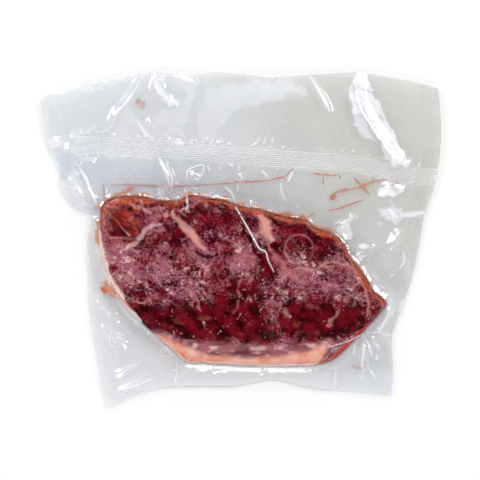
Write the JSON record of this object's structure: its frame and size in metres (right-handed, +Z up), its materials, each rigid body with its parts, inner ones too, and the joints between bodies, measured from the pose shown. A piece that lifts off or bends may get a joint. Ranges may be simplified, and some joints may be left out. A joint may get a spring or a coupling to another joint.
{
  "type": "vacuum-packed steak",
  "caption": "Thick raw beef steak sealed under vacuum in a clear film pouch with a flat empty header, a ribbed seal band and wrinkled margins. It lies flat on its steak.",
  "frame": {"origin": "centre of the pack's bounding box, on the surface that it lies on", "axes": "+X runs along the steak and the seal band, +Y towards the empty header, +Z up out of the face shown"},
  "size_m": [0.1999, 0.1672, 0.0201],
  "materials": {
    "clear_film": "thin clear film, glossy, faintly grey where its plies lie together",
    "raw_meat": "wet raw beef, deep red with paler pink seams",
    "steak_fat": "soft beef fat, cream to pink",
    "meat_juice": "thin red-brown juice caught between the plies"
  },
  "bodies": {
    "root": {"sealed_steak_pack": "clear_film"}
  },
  "joints": []
}
